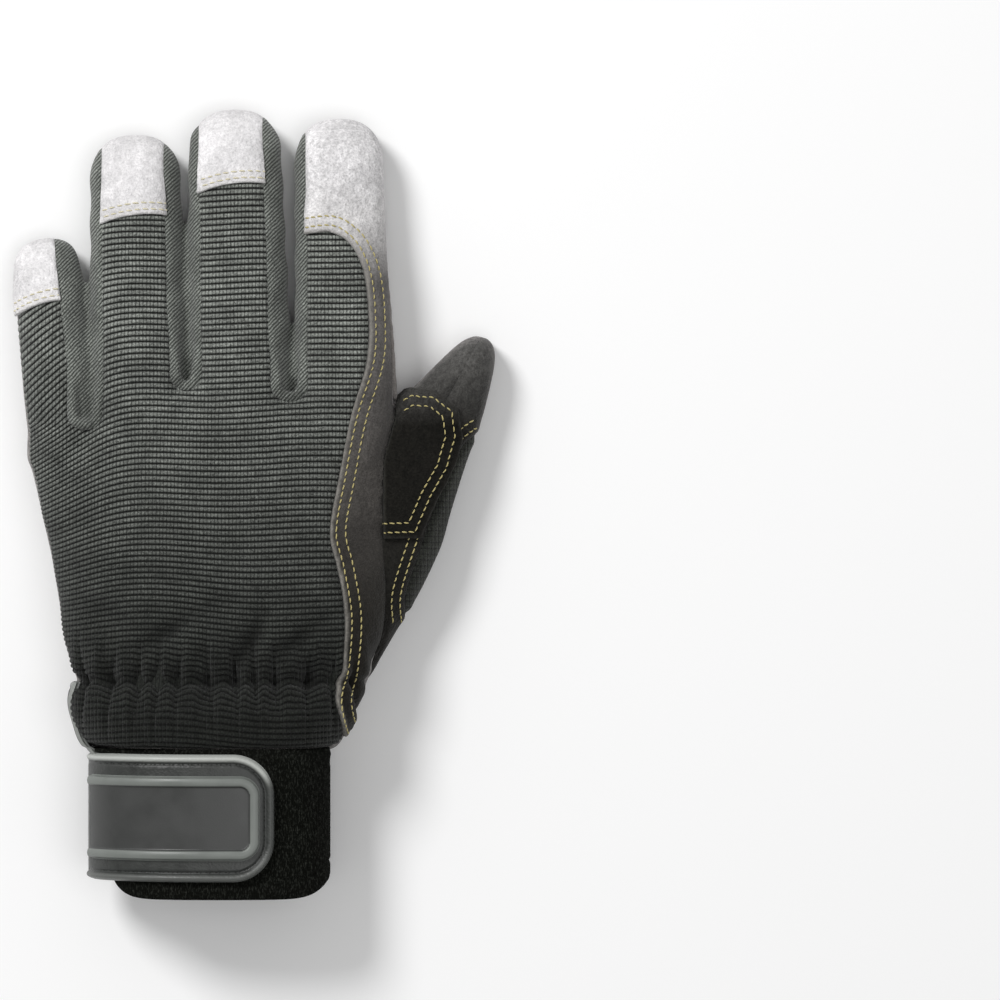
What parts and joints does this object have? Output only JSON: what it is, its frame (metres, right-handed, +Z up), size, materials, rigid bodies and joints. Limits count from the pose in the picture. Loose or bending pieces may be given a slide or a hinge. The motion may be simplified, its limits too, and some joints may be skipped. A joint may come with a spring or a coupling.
{
  "type": "rigger glove",
  "caption": "Work glove with a ribbed knit back, suede palm and fingertips, sewn reinforcement patches, an elastic cuff and a wrist strap.",
  "frame": {"origin": "centre of the bounding box in plan, on the plane that the glove lies on", "axes": "+Y along the fingers from the cuff, +X towards the thumb side, +Z up out of the back of the hand"},
  "size_m": [0.1534, 0.25, 0.0462],
  "materials": {
    "rib_knit": "ribbed elastic knit",
    "grey_suede": "suede microfibre",
    "dark_suede": "suede microfibre",
    "pale_suede": "suede microfibre",
    "gusset_twill": "stretch twill",
    "woven_elastic": "woven elastic",
    "strap_leather": "coated leather",
    "moulded_label": "moulded rubber, bare field"
  },
  "bodies": {
    "root": {"back_panel": "rib_knit", "thumb_knit_insert": "rib_knit", "palm_panel": "grey_suede", "palm_patch": "grey_suede", "index_patch": "grey_suede", "fork_patch": "dark_suede", "thumb_inner_panel": "grey_suede", "thumb_outer_panel": "dark_suede", "index_side_panel": "pale_suede", "little_cap": "pale_suede", "ring_cap": "pale_suede", "middle_cap": "pale_suede", "little_ring_gusset": "gusset_twill", "ring_middle_gusset": "gusset_twill", "middle_index_gusset": "gusset_twill", "cuff": "woven_elastic", "strap": "strap_leather", "strap_tab": "strap_leather", "strap_plate": "moulded_label"}
  },
  "joints": []
}
